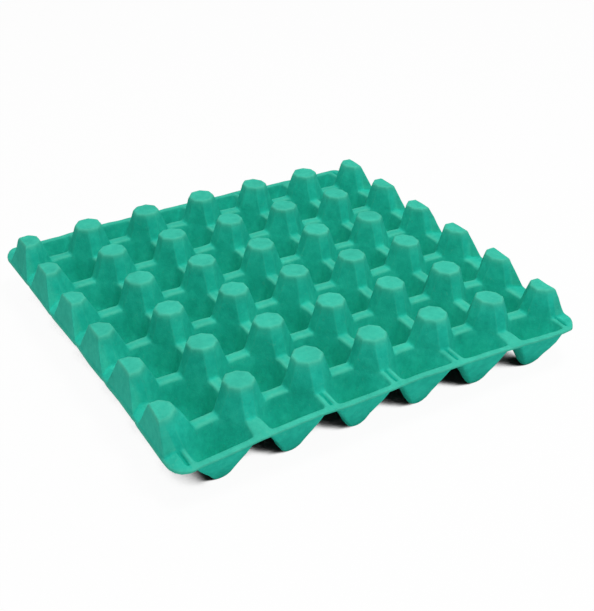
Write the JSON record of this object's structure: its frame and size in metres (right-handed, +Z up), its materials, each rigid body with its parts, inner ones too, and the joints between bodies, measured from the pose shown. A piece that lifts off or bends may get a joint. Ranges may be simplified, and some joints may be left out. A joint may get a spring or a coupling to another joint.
{
  "type": "egg tray",
  "caption": "Moulded pulp egg tray: a square sheet pressed into round cups between hollow eight-sided posts, with half-cup feet along two margins.",
  "frame": {"origin": "middle of the tray's bounding box, at the floor under the feet", "axes": "+X along the row with more cells, +Y along the row with fewer cells, towards the back in the picture, +Z up"},
  "size_m": [0.302, 0.301, 0.05],
  "materials": {
    "pulp": "matte"
  },
  "bodies": {
    "root": {"tray": "pulp"}
  },
  "joints": []
}
